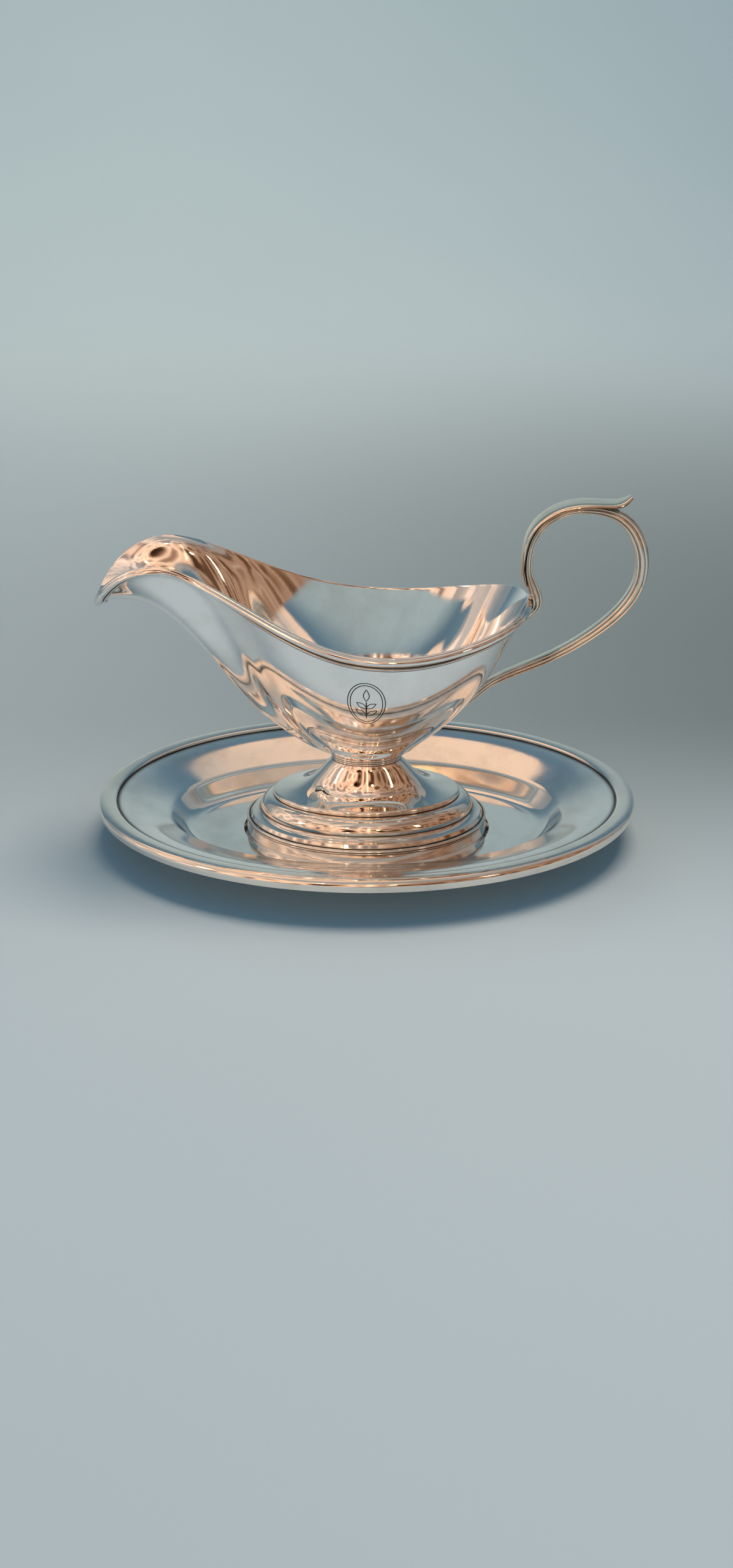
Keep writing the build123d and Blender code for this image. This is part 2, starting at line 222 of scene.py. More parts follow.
def make_camera():
    """Camera in front of the object that looks down on it."""
    data = bpy.data.cameras.new("camera")
    data.lens = CAMERA_LENS
    data.sensor_width = 36.0
    data.clip_start = 0.01
    data.clip_end = 50.0
    camera = bpy.data.objects.new("camera", data)
    camera.location = (0.0, -CAMERA_BACK, CAMERA_HEIGHT)
    camera.rotation_euler = (math.radians(90.0 - CAMERA_DOWN), 0.0, 0.0)
    bpy.context.scene.collection.objects.link(camera)
    bpy.context.scene.camera = camera


# ---------------------------------------------------------------- curves and surfaces
def cubic(points, closed=False):
    """Return a function of 0..1 that runs smoothly through the points, for arrays of shares."""
    knots = np.array(points, dtype=float)
    if closed:
        knots = np.vstack([knots, knots[:1]])
    step = np.linalg.norm(np.diff(knots[:, :3], axis=0), axis=1)
    count = len(step)
    slope = np.diff(knots, axis=0) / step[:, None]
    size = count if closed else count + 1
    matrix = np.zeros((size, size))
    right = np.zeros((size, knots.shape[1]))
    for i in range(size):
        before = (i - 1) % count
        after = i % count
        if not closed and i == 0:
            matrix[i, 0], matrix[i, 1] = 2.0, 1.0
            right[i] = 3.0 * slope[0]
        elif not closed and i == count:
            matrix[i, count - 1], matrix[i, count] = 1.0, 2.0
            right[i] = 3.0 * slope[-1]
        else:
            matrix[i, before] += 1.0 / step[before]
            matrix[i, i] += 2.0 / step[before] + 2.0 / step[after]
            matrix[i, (i + 1) % size] += 1.0 / step[after]
            right[i] = 3.0 * (slope[before] / step[before] + slope[after] / step[after])
    tangent = np.linalg.solve(matrix, right)
    if closed:
        tangent = np.vstack([tangent, tangent[:1]])
    at = np.concatenate([[0.0], np.cumsum(step)])

    def value(share):
        share = np.asarray(share, dtype=float)
        along = (share % 1.0 if closed else np.clip(share, 0.0, 1.0)) * at[-1]
        i = np.clip(np.searchsorted(at, along, side="right") - 1, 0, count - 1)
        h = step[i][..., None]
        t = (along[..., None] - at[i][..., None]) / h
        return (
            (2 * t**3 - 3 * t**2 + 1) * knots[i]
            + (t**3 - 2 * t**2 + t) * h * tangent[i]
            + (3 * t**2 - 2 * t**3) * knots[i + 1]
            + (t**3 - t**2) * h * tangent[i + 1]
        )

    return value


def mirrored(half):
    """Closed outline from its half, whose first and last points lie on the middle plane."""
    near = [(x, -w, z) for x, w, z in half]
    far = [(x, w, z) for x, w, z in half[-2:0:-1]]
    return near + far


rim_curve = cubic(mirrored(RIM), closed=True)
spout_curve = cubic(SPOUT_PROFILE)
side_curve = cubic(SIDE_PROFILE)
handle_end_curve = cubic(HANDLE_PROFILE)
WIDEST = max(width for _, width, _ in RIM)


def share_of(curve, t):
    """How far a profile has come from its first point to its last, apart for distance and height."""
    first, last = curve(0.0), curve(1.0)
    return (curve(t) - first) / (last - first)


def bowl_skin(s, t):
    """Points of the bowl's outer skin: s runs once round the rim, t from the bottom to the rim."""
    top = rim_curve(s)
    to_spout = 0.5 * (1 - np.tanh(top[..., 0] / BLEND_LENGTH))
    reach = -RIM[0][0] * to_spout + RIM[-1][0] * (1 - to_spout)
    angle = np.arctan2(top[..., 1] / WIDEST, top[..., 0] / reach)
    foot = np.stack([
        NECK_HALF_LENGTH * np.cos(angle),
        NECK_HALF_WIDTH * np.sin(angle),
        np.full_like(angle, BOWL_BOTTOM),
    ], axis=-1)
    blend = to_spout[..., None]
    end_share = blend * share_of(spout_curve, t) + (1 - blend) * share_of(handle_end_curve, t)
    keel = SPOUT_KEEL * to_spout + HANDLE_KEEL * (1 - to_spout)
    ends = keel * np.cos(angle) ** 2
    ends = (ends / (1 - np.cos(angle) ** 2 + ends))[..., None]
    shares = ends * end_share + (1 - ends) * share_of(side_curve, t)
    return foot + (top - foot) * shares[..., [0, 0, 1]]


def bowl_normal(s, t, small=1e-3):
    """Unit vectors that point out of the bowl's skin."""
    low, high = np.maximum(t - small, 0.0), np.minimum(t + small, 1.0)
    around = bowl_skin(s + small, t) - bowl_skin(s - small, t)
    up = bowl_skin(s, high) - bowl_skin(s, low)
    normal = np.cross(around, up)
    return normal / np.linalg.norm(normal, axis=-1, keepdims=True)


def on_rim(s, drop, proud, near=0.02):
    """Points at a distance below the rim along the skin, and at a distance outside the skin."""
    last_stretch = bowl_skin(s, np.ones_like(s)) - bowl_skin(s, np.full_like(s, 1.0 - near))
    length = np.linalg.norm(last_stretch, axis=-1) / near
    t = 1.0 - drop / length
    return bowl_skin(s, t) + np.asarray(proud)[..., None] * bowl_normal(s, t)


# ---------------------------------------------------------------- pieces from rings of points
def skin_over(rings, closed_along, first):
    """Points in metres and faces through rings of points in mm. Open ends get a fan to their middle."""
    rings = np.asarray(rings) * MM
    rows, around = rings.shape[:2]
    points = [tuple(p) for p in rings.reshape(-1, 3)]
    faces = []
    for i in range(rows if closed_along else rows - 1):
        here, there = first + i * around, first + ((i + 1) % rows) * around
        for j in range(around):
            k = (j + 1) % around
            faces.append((here + j, here + k, there + k, there + j))
    if not closed_along:
        for row in (0, rows - 1):
            points.append(tuple(rings[row].mean(axis=0)))
            centre = first + len(points) - 1
            start = first + row * around
            faces += [(centre, start + j, start + (j + 1) % around) for j in range(around)]
    return points, faces


def piece_from_rings(name, *blocks, closed_along=False, crevice=0.0):
    """Smooth closed mesh of one or more blocks of rings. The last argument gives each point's painted crease
    shade, 0 to 1.
    """
    points = []
    faces = []
    shade = []
    for rings in blocks:
        more_points, more_faces = skin_over(rings, closed_along, len(points))
        ring_shade = np.broadcast_to(crevice, np.asarray(rings).shape[:2]).ravel()
        shade += list(ring_shade) + [0.0] * (len(more_points) - len(ring_shade))
        points += more_points
        faces += more_faces
    mesh = bpy.data.meshes.new(name)
    mesh.from_pydata(points, [], faces)
    # Painted shade for creases, grooves and joins, which the silver material darkens by.
    mesh.attributes.new("crevice", "FLOAT", "POINT").data.foreach_set("value", shade)
    work = bmesh.new()
    work.from_mesh(mesh)
    bmesh.ops.recalc_face_normals(work, faces=work.faces)
    work.to_mesh(mesh)
    work.free()
    mesh.shade_smooth()
    mesh.set_sharp_from_angle(angle=math.radians(SHARP_ANGLE))
    piece = bpy.data.objects.new(name, mesh)
    bpy.context.scene.collection.objects.link(piece)
    return piece


def place(piece, node, material):
    """The piece stands for its CAD node."""
    piece.data.materials.append(material)
    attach(piece, ROOT)
    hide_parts(node)


def unit(vector):
    return vector / np.linalg.norm(vector)


def sampled(rows):
    """Points along one stretch of an outline."""
    rows = np.array(rows, dtype=float)
    length = np.linalg.norm(np.diff(rows, axis=0), axis=1).sum()
    count = max(FEWEST_ROWS, int(length / ROW_STEP))
    share = np.linspace(0.0, 1.0, count)
    if len(rows) == 2:
        return rows[0] + share[:, None] * (rows[1] - rows[0])
    return cubic(rows)(share)


def with_round_corners(stretches, closed):
    """Join stretches of an outline, and round each corner between two of them."""
    runs = [sampled(rows) for rows in stretches]
    lengths = [np.linalg.norm(np.diff(run, axis=0), axis=1).sum() for run in runs]
    count = len(runs)
    outline = []
    for i, run in enumerate(runs):
        far_from_start = np.linalg.norm(run - run[0], axis=1)
        far_from_end = np.linalg.norm(run - run[-1], axis=1)
        cut_start = min(CORNER_ROUND, CORNER_SHARE * min(lengths[i], lengths[i - 1]))
        cut_end = min(CORNER_ROUND, CORNER_SHARE * min(lengths[i], lengths[(i + 1) % count]))
        if not closed and i == 0:
            cut_start = -1.0
        if not closed and i == count - 1:
            cut_end = -1.0
        kept = run[(far_from_start > cut_start) & (far_from_end > cut_end)]
        outline.append(kept)
        if closed or i < count - 1:
            following = runs[(i + 1) % count]
            corner = run[-1]
            back = corner + cut_end * unit(run[-2] - corner)
            ahead = corner + cut_end * unit(following[1] - corner)
            for t in np.linspace(0.0, 1.0, CORNER_POINTS):
                outline.append([(1 - t) ** 2 * back + 2 * t * (1 - t) * corner + t**2 * ahead])
    return np.vstack(outline)


def dark_near(outline, corners, reach):
    """How much painted shade each row of an outline gets: 1 at the given corners, and little past the reach
    in mm.
    """
    dark = np.zeros(len(outline))
    for half_length, height in corners:
        distance = np.hypot(outline[:, 0] - half_length, outline[:, 2] - height)
        dark = np.maximum(dark, np.exp(-(distance / reach) ** 2))
    return dark[:, None]


def oval_rings(outline):
    """Ovals of an outline's rows of half-length, half-width and height."""
    turn = np.linspace(0.0, 2 * math.pi, AROUND_OVAL, endpoint=False)
    half_length, half_width, height = (outline[:, k][:, None] for k in range(3))
    return np.stack([
        half_length * np.cos(turn),
        half_width * np.sin(turn),
        height * np.ones_like(turn),
    ], axis=-1)


def to_centre(row, count=14):
    """Rows of a flat oval, from near its middle out to the row."""
    half_length, half_width, height = row
    return [(half_length * k / count, half_width * k / count, height) for k in range(1, count)]


# ---------------------------------------------------------------- stand
def inset(amount, height):
    """Oval of the stand, at a distance in from its edge."""
    return (STAND_HALF_LENGTH - amount, STAND_HALF_WIDTH - amount, height)


# Top face of the stand's sheet: distance in from the edge, height.
EDGE_SEAT = [(1.2, 17.3), (7.7, 16.9)]
FLANGE = [(7.7, 16.9), (13.0, 15.7), (19.0, 13.6), (24.5, 11.4), (28.3, 9.9)]
WELL = [(28.3, 9.9), (29.6, 9.1), (30.7, 7.9), (33.2, 4.9), (35.6, 2.5), (37.6, 1.5), (40.0, 1.2)]

# Shares of the sheet's thickness that the under face lies in and down from the top face.
FLANGE_IN = 0.2
WELL_IN = 0.6
WELL_DOWN = 0.85


def stand_plate_piece():
    """Pressed sheet: the seat under the border, the flange, the well, and the same line below."""
    seat = [inset(*row) for row in EDGE_SEAT]
    top = [inset(*row) for row in FLANGE]
    well = [inset(*row) for row in WELL]
    under_edge = inset(EDGE_SEAT[0][0], EDGE_SEAT[0][1] - STAND_SHEET)
    under_flange = [inset(k + FLANGE_IN * STAND_SHEET, z - STAND_SHEET) for k, z in FLANGE]
    under_slope = [inset(k + WELL_IN * STAND_SHEET, z - WELL_DOWN * STAND_SHEET) for k, z in WELL[1:-2]]
    under_well = under_flange[-1:] + under_slope + [inset(37.9, 0.25), inset(WELL[-1][0], 0.0)]
    outline = with_round_corners([
        well[::-1],
        top[::-1],
        seat[::-1],
        [seat[0], under_edge],
        [under_edge, under_flange[0]],
        under_flange,
        under_well,
    ], closed=False)
    outline = np.vstack([to_centre(well[-1]), outline, to_centre(under_well[-1])[::-1]])
    # Painted shade along the line where the border sits on the plate.
    border_line = (STAND_HALF_LENGTH - BORDER_WIDTH - 0.2, EDGE_SEAT[1][1])
    dark = dark_near(outline, [border_line], 1.1)
    return piece_from_rings("tray", oval_rings(outline), crevice=dark)


def stand_border_piece():
    """Applied half-round moulding with a skirt that hides the sheet's edge."""
    inner = (BORDER_WIDTH, EDGE_SEAT[1][1] + SOLDER_FILM)
    seat_height = EDGE_SEAT[0][1] + SOLDER_FILM
    crown = [inner, (7.3, 17.5), (5.6, 18.25), (3.4, BORDER_TOP), (1.4, 18.1), (0.3, 17.2), (0.0, 16.2)]
    bottom = BORDER_TOP - BORDER_DROP
    skirt = [(0.0, 16.2), (0.25, bottom)]
    outline = with_round_corners([
        [inset(*row) for row in crown],
        [inset(*row) for row in skirt],
        [inset(*skirt[1]), inset(BORDER_LIP, bottom)],
        [inset(BORDER_LIP, bottom), inset(BORDER_LIP, seat_height)],
        [inset(BORDER_LIP, seat_height), inset(*inner)],
    ], closed=True)
    # Painted shade along the border's inner edge, where it meets the plate.
    dark = dark_near(outline, [(STAND_HALF_LENGTH - BORDER_WIDTH, inner[1])], 0.5)
    return piece_from_rings("tray_border", oval_rings(outline), closed_along=True, crevice=dark)


# ---------------------------------------------------------------- foot
def foot_rows(rows):
    """Ovals of the foot; the cone above the disc narrows towards the rounder neck."""
    result = []
    for half_length, height in rows:
        half_width = half_length - FOOT_LESS_WIDTH
        if half_length < DISC_HALF_LENGTH:
            share = (half_length - NECK_HALF_LENGTH) / (DISC_HALF_LENGTH - NECK_HALF_LENGTH)
            top_width = DISC_HALF_LENGTH - FOOT_LESS_WIDTH - NECK_HALF_WIDTH
            half_width = NECK_HALF_WIDTH + share * top_width
        result.append((half_length, half_width, height))
    return result


def foot_apron_piece():
    """Upright band with a fine raised line and a bead on top."""
    base = FOOT_HALF_LENGTH
    top = APRON_TOP
    floor = STAND_SHEET
    outside = [(base, floor), (base - 0.2, floor + 0.8), (base - 0.8, top - 1.9)]
    lower_line = [(base - 0.8, top - 1.9), (base - 0.45, top - 1.55), (base - 0.8, top - 1.2)]
    bead = [(base - 0.8, top - 1.2), (base - 0.5, top - 0.6), (base - 1.2, top)]
    inside = base - 0.8 - FOOT_WALL
    outline = with_round_corners([
        foot_rows(outside),
        foot_rows(lower_line),
        foot_rows(bead),
        foot_rows([(base - 1.2, top), (inside, top)]),
        foot_rows([(inside, top), (inside, floor)]),
        foot_rows([(inside, floor), (base, floor)]),
    ], closed=True)
    # Painted shade in the creases beside the raised line, inside the bead and where the band stands on the
    # plate.
    dark = dark_near(outline, [lower_line[0], lower_line[-1], (base - 1.6, top), outside[0]], 0.3)
    return piece_from_rings("foot_band", oval_rings(outline), closed_along=True, crevice=dark)


def foot_shell_piece():
    """Thin shell from the sill on the band up over the hollow, the round band, the disc and the cone."""
    sill = [(49.5, 7.95), (48.3, 9.5)]
    hollow = [(48.3, 9.5), (46.9, 9.75), (45.6, 10.3), (44.8, 11.2)]
    round_band = [(44.8, 11.2), (44.6, 12.9), (43.4, 15.0), (41.4, 16.6), (39.0, 17.2)]
    disc_edge = [(39.0, 17.2), (39.35, 18.1), (39.0, 19.0), (DISC_HALF_LENGTH, 19.4)]
    cone = [
        (DISC_HALF_LENGTH, 19.4), (33.0, 20.3), (28.2, 21.7), (24.0, 23.9), (20.6, 26.8),
        (17.9, 29.9), (15.9, 32.2), (NECK_HALF_LENGTH, COLLAR_BOTTOM),
    ]
    wall = FOOT_WALL
    inner_cone = [
        (NECK_HALF_LENGTH - 1.6 * wall, COLLAR_BOTTOM), (17.2 - wall, 29.3), (19.9 - wall, 26.1),
        (23.5 - wall, 23.2), (28.0 - wall, 20.8), (33.0 - wall, 19.3), (37.6 - wall, 18.4),
    ]
    inner_band = [
        inner_cone[-1], (41.2 - wall, 15.6), (43.2 - wall, 13.8), (44.2 - wall, 11.6),
        (45.6 - wall, 9.6), (47.6 - wall, 8.5),
    ]
    foot_edge = (47.6 - wall, 7.95)
    outline = with_round_corners([
        foot_rows(sill),
        foot_rows(hollow),
        foot_rows(round_band),
        foot_rows(disc_edge),
        foot_rows(cone),
        foot_rows([cone[-1], inner_cone[0]]),
        foot_rows(inner_cone),
        foot_rows(inner_band),
        foot_rows([inner_band[-1], foot_edge]),
        foot_rows([foot_edge, sill[0]]),
    ], closed=True)
    # Painted shade in the creases of the sill, the hollow, the disc's edge and under the collar.
    dark = dark_near(outline, [sill[0], hollow[-1], disc_edge[0], cone[-1]], 0.4)
    return piece_from_rings("foot", oval_rings(outline), closed_along=True, crevice=dark)


def neck_collar_piece():
    """Stack of fine reeds round the neck, in one ring."""
    reed_height = (BOWL_BOTTOM - COLLAR_BOTTOM) / COLLAR_REEDS
    stretches = []
    for i in range(COLLAR_REEDS):
        low = COLLAR_BOTTOM + i * reed_height
        rows = [(0.0, 0.05), (COLLAR_PROUD, 0.5), (0.0, 0.95)]
        stretches.append([
            (NECK_HALF_LENGTH + out, NECK_HALF_WIDTH + out, low + share * reed_height)
            for out, share in rows
        ])
        if i < COLLAR_REEDS - 1:
            next_low = low + 1.05 * reed_height
            stretches.append([stretches[-1][-1], (NECK_HALF_LENGTH, NECK_HALF_WIDTH, next_low)])
    inner = (NECK_HALF_LENGTH - COLLAR_WALL, NECK_HALF_WIDTH - COLLAR_WALL)
    first, last = stretches[0][0], stretches[-1][-1]
    stretches.append([last, (*inner, last[2])])
    stretches.append([(*inner, last[2]), (*inner, first[2])])
    stretches.append([(*inner, first[2]), first])
    outline = with_round_corners(stretches, closed=True)
    # Painted shade in the valleys between the reeds.
    valleys = [(rows[0][0], rows[0][2]) for rows in stretches[:2 * COLLAR_REEDS:2]]
    dark = dark_near(outline, valleys, 0.2)
    return piece_from_rings("collar", oval_rings(outline), closed_along=True, crevice=dark)


# ---------------------------------------------------------------- bowl
# The rounded floor inside starts at this row of the skin. The sheet's edge is rounded up by EDGE_RISE.
FLOOR_ROW = 9
FLOOR_RINGS = 18
BASE_RINGS = 8
EDGE_RISE = 0.3
EDGE_RINGS = 9


def bowl_piece():
    """The raised sheet: outer skin up to the rim, a softly rounded edge, and down inside."""
    s = np.arange(BOWL_AROUND) / BOWL_AROUND
    outside = []
    inside = []
    for t in np.linspace(0.0, 1.0, BOWL_ROWS):
        level = np.full_like(s, t)
        skin = bowl_skin(s, level)
        outside.append(skin)
        inside.append(skin - BOWL_WALL * bowl_normal(s, level))
    outside = np.array(outside)
    inside = np.array(inside)
    edge = []
    middle = 0.5 * (outside[-1] + inside[-1])
    half = 0.5 * (outside[-1] - inside[-1])
    rise = np.array([0.0, 0.0, EDGE_RISE])
    for turn in np.linspace(0.0, math.pi, EDGE_RINGS)[1:-1]:
        edge.append(middle + math.cos(turn) * half + math.sin(turn) * rise)
    # A round floor inside instead of a flat one with a crease at its edge.
    floor_ring = inside[FLOOR_ROW]
    centre = np.array([0.0, 0.0, BOWL_BOTTOM + BOWL_WALL])
    floor = []
    for k in np.linspace(1.0, 0.0, FLOOR_RINGS)[1:-1]:
        flat = centre[:2] + k * (floor_ring[:, :2] - centre[:2])
        height = centre[2] + (floor_ring[:, 2] - centre[2]) * k**3
        floor.append(np.column_stack([flat, height]))
    # A flat disc under the bowl, out to the skin's lowest ring.
    bottom = np.array([0.0, 0.0, BOWL_BOTTOM])
    base = []
    for k in np.linspace(0.0, 1.0, BASE_RINGS)[1:-1]:
        base.append(bottom + k * (outside[0] - bottom))
    rings = np.concatenate([base, outside, edge, inside[:FLOOR_ROW - 1:-1], floor])
    return piece_from_rings("bowl", rings)


def half_round(start, depth, proud, count):
    """Half-round section on the skin: rows of distance below the rim and distance outside the skin."""
    rows = []
    for turn in np.linspace(0.0, math.pi, count):
        drop = start + 0.5 * depth * (1 - math.cos(turn))
        rows.append((drop, GROOVE_PROUD + (proud - GROOVE_PROUD) * math.sin(turn)))
    return rows


# How strongly a moulding's rings crowd towards the tips of the rim, 0 to 1, and how far the painted shade
# line in each of its grooves reaches, in mm.
TIP_CROWDING = 0.7
GROOVE_REACH = 0.6


def rim_moulding_piece(name, side):
    """Half-round bead with a fine reed under it, on one side of the rim."""
    along = np.linspace(0.0, 1.0, MOULDING_ALONG)
    s = 0.5 * (along - TIP_CROWDING * np.sin(2 * math.pi * along) / (2 * math.pi))
    reed_start = BEAD_DEPTH + FILLET_GAP
    width = reed_start + REED_DEPTH
    ring = half_round(0.0, BEAD_DEPTH, BEAD_PROUD, BEAD_AROUND)
    ring += half_round(reed_start, REED_DEPTH, REED_PROUD, REED_AROUND)
    ring += [(width * share, SOLDER_FILM) for share in np.linspace(1.0, 0.0, MOULDING_BACK)]
    columns = [on_rim(s, drop, np.full_like(s, proud)) for drop, proud in ring]
    rings = np.stack(columns, axis=1)
    rings[..., 1] *= side
    drops = np.array([drop for drop, _ in ring])
    # Painted shade in the groove between bead and reed, and along the reed's lower edge on the skin.
    grooves = (BEAD_DEPTH + 0.5 * FILLET_GAP, width)
    dark = sum(np.exp(-((drops - groove) / GROOVE_REACH) ** 2) for groove in grooves)
    return piece_from_rings(name, rings, crevice=np.minimum(dark, 1.0)[None, :])


# ---------------------------------------------------------------- handle
def bar_frames(curve, share):
    """Middle points, outward directions in the plane y = 0 and the curve's own third values."""
    small = 1e-3
    here = curve(share)
    ahead = curve(share + small) - curve(share - small)
    tangent = ahead[:, :2] / np.linalg.norm(ahead[:, :2], axis=1, keepdims=True)
    zero = np.zeros(len(share))
    middle = np.column_stack([here[:, 0], zero, here[:, 1]])
    outward = np.column_stack([-tangent[:, 1], zero, tangent[:, 0]])
    return middle, outward, here[:, 2]


def bar_rings(curve, along, section, half, wide):
    """Rings of a bar whose section is rows of (share across, share outward)."""
    share = np.linspace(0.0, 1.0, along)
    middle, outward, third = bar_frames(curve, share)
    rings = []
    for i in range(along):
        across = np.array([0.0, wide(third[i]), 0.0])
        rings.append([middle[i] + a * across + o * half(third[i]) * outward[i] for a, o in section])
    return np.array(rings)


# A bar thinner than FULL_WIDTH_DEPTH gets narrower too, down to LEAST_WIDTH of its full width.
FULL_WIDTH_DEPTH = 4.0
LEAST_WIDTH = 0.55


def bar_width(depth):
    """Half-width of the handle's bar where it is this deep."""
    return HANDLE_HALF_WIDTH * (LEAST_WIDTH + (1 - LEAST_WIDTH) * min(1.0, depth / FULL_WIDTH_DEPTH))


def handle_piece():
    """Loop whose section has a rib on top and a shallow groove along each flank."""
    rib = cubic([(-0.34, 0.72), (0.0, 1.0), (0.34, 0.72)])(np.linspace(0.0, 1.0, 13))
    flank = [(0.34, 0.72), (0.74, 0.72), (0.98, 0.48), (0.87, 0.27), (1.0, 0.0)]
    flank += [(0.92, -0.32), (0.76, -0.48), (0.78, -0.68), (0.45, -0.94), (0.0, -1.0)]
    other_flank = [(-across, out) for across, out in flank[-2::-1]]
    body = cubic(flank + other_flank)(np.linspace(0.0, 1.0, HANDLE_AROUND))
    section = np.vstack([rib, body[1:-1]])
    rings = bar_rings(
        cubic(HANDLE), HANDLE_ALONG, section,
        half=lambda depth: 0.5 * depth,
        wide=bar_width,
    )
    # Painted shade in the grooves where the rib meets the flanks and along each flank.
    dark = np.zeros(len(section))
    for groove, reach in ((flank[0], 0.12), (flank[3], 0.07), (flank[6], 0.08)):
        distance = np.hypot(np.abs(section[:, 0]) - groove[0], section[:, 1] - groove[1])
        dark = np.maximum(dark, np.exp(-(distance / reach) ** 2))
    return piece_from_rings("handle", rings, crevice=dark[None, :])


def leaf_piece():
    """Crowned leaf that sits like a saddle on the bar and ends in a thin tail towards the rim."""
    top = cubic([
        (-1.0, -1.3), (-0.94, -0.2), (-0.6, 0.7), (0.0, 1.0), (0.6, 0.7), (0.94, -0.2), (1.0, -1.3),
    ])
    under = cubic([(0.93, -1.5), (0.62, -1.15), (0.0, -0.95), (-0.62, -1.15), (-0.93, -1.5)])
    share = np.linspace(0.0, 1.0, LEAF_ACROSS)
    section = np.vstack([top(share), under(share)])
    rings = bar_rings(
        cubic([LEAF_TAIL] + LEAF), LEAF_ALONG, section,
        half=lambda width: 0.5 * LEAF_THICKNESS * min(1.0, 0.25 + width),
        wide=lambda width: LEAF_HALF_WIDTH * width,
    )
    # Painted shade on the leaf's underside, where it sits on the bar.
    shade_under_leaf = np.where(section[:, 1] < -0.9, 0.8, 0.0)
    return piece_from_rings("leaf", rings, crevice=shade_under_leaf[None, :])


# ---------------------------------------------------------------- engraving
# Height of the emblem's middle and half the width of a cut line, in mm.
ENGRAVING_HEIGHT = 74.0
ENGRAVING_LINE = 0.26

# Frame: half-width and half-height of each oval line. Sprig: heights from the emblem's middle.
FRAME_OVALS = [(7.2, 9.6), (6.2, 8.6)]
STEM_FOOT = -7.0
STEM_LENGTH = 8.6
STEM_WIDTH = 0.12
LEAF_PAIRS = [(-5.4, 5.0), (-1.8, 4.4)]
PAIR_WIDTH = 1.15
PAIR_TURN = 32.0
TOP_LEAF = 1.6
TOP_LENGTH = 5.2
TOP_WIDTH = 1.3

# Section of a cut line: share across, distance outside the skin.
CUT_SECTION = [(-1.0, -0.03), (-0.4, 0.03), (0.4, 0.03), (1.0, -0.03), (0.0, -0.12)]


def leaf_outline(stem, turn, length, width):
    """Closed almond outline that starts on the stem and points along turn, in degrees."""
    share = np.linspace(0.0, 1.0, 15)
    side = np.sin(math.pi * share) * width * (1 - 0.35 * share)
    along = np.concatenate([share, share[-2:0:-1]]) * length
    across = np.concatenate([side, -side[-2:0:-1]])
    cos, sin = math.cos(math.radians(turn)), math.sin(math.radians(turn))
    return np.column_stack([stem[0] + along * cos - across * sin, stem[1] + along * sin + across * cos])


def engraving_paths():
    """Plain oval frame with a leaf sprig in it: closed paths of (across, up) in mm."""
    turn = np.linspace(0.0, 2 * math.pi, 90, endpoint=False)
    paths = [np.column_stack([wide * np.cos(turn), high * np.sin(turn)]) for wide, high in FRAME_OVALS]
    paths.append(leaf_outline((0.0, STEM_FOOT), 90.0, STEM_LENGTH, STEM_WIDTH))
    for height, length in LEAF_PAIRS:
        for turn_out in (PAIR_TURN, 180.0 - PAIR_TURN):
            paths.append(leaf_outline((0.0, height), turn_out, length, PAIR_WIDTH))
    paths.append(leaf_outline((0.0, TOP_LEAF), 90.0, TOP_LENGTH, TOP_WIDTH))
    return paths


def emblem_middle():
    """The skin's s and t at the emblem's middle: in the plane x = 0 on the near side, at its height."""
    near_side = np.linspace(0.15, 0.35, 400)
    from_plane = np.abs(bowl_skin(near_side, np.full_like(near_side, 0.6))[:, 0])
    s_middle = near_side[np.argmin(from_plane)]
    levels = np.linspace(0.2, 0.9, 400)
    heights = bowl_skin(np.full_like(levels, s_middle), levels)[:, 2]
    t_middle = levels[np.argmin(np.abs(heights - ENGRAVING_HEIGHT))]
    return np.array([s_middle]), np.array([t_middle])


def engraving_piece(step=1e-3):
    """Fine cut lines on the near side of the bowl, each a thin closed strip that hugs the skin."""
    s_middle, t_middle = emblem_middle()
    middle = bowl_skin(s_middle, t_middle)
    s_per_mm = step / np.linalg.norm(bowl_skin(s_middle + step, t_middle) - middle)
    t_per_mm = step / np.linalg.norm(bowl_skin(s_middle, t_middle + step) - middle)
    blocks = []
    for path in engraving_paths():
        ahead = np.roll(path, -1, axis=0) - np.roll(path, 1, axis=0)
        across = np.column_stack([-ahead[:, 1], ahead[:, 0]])
        across /= np.linalg.norm(across, axis=1, keepdims=True)
        columns = []
        for side, proud in CUT_SECTION:
            flat = path + side * ENGRAVING_LINE * across
            s = s_middle + flat[:, 0] * s_per_mm
            t = t_middle + flat[:, 1] * t_per_mm
            columns.append(bowl_skin(s, t) + proud * bowl_normal(s, t))
        blocks.append(np.stack(columns, axis=1))
    return piece_from_rings("engraving", *blocks, closed_along=True)


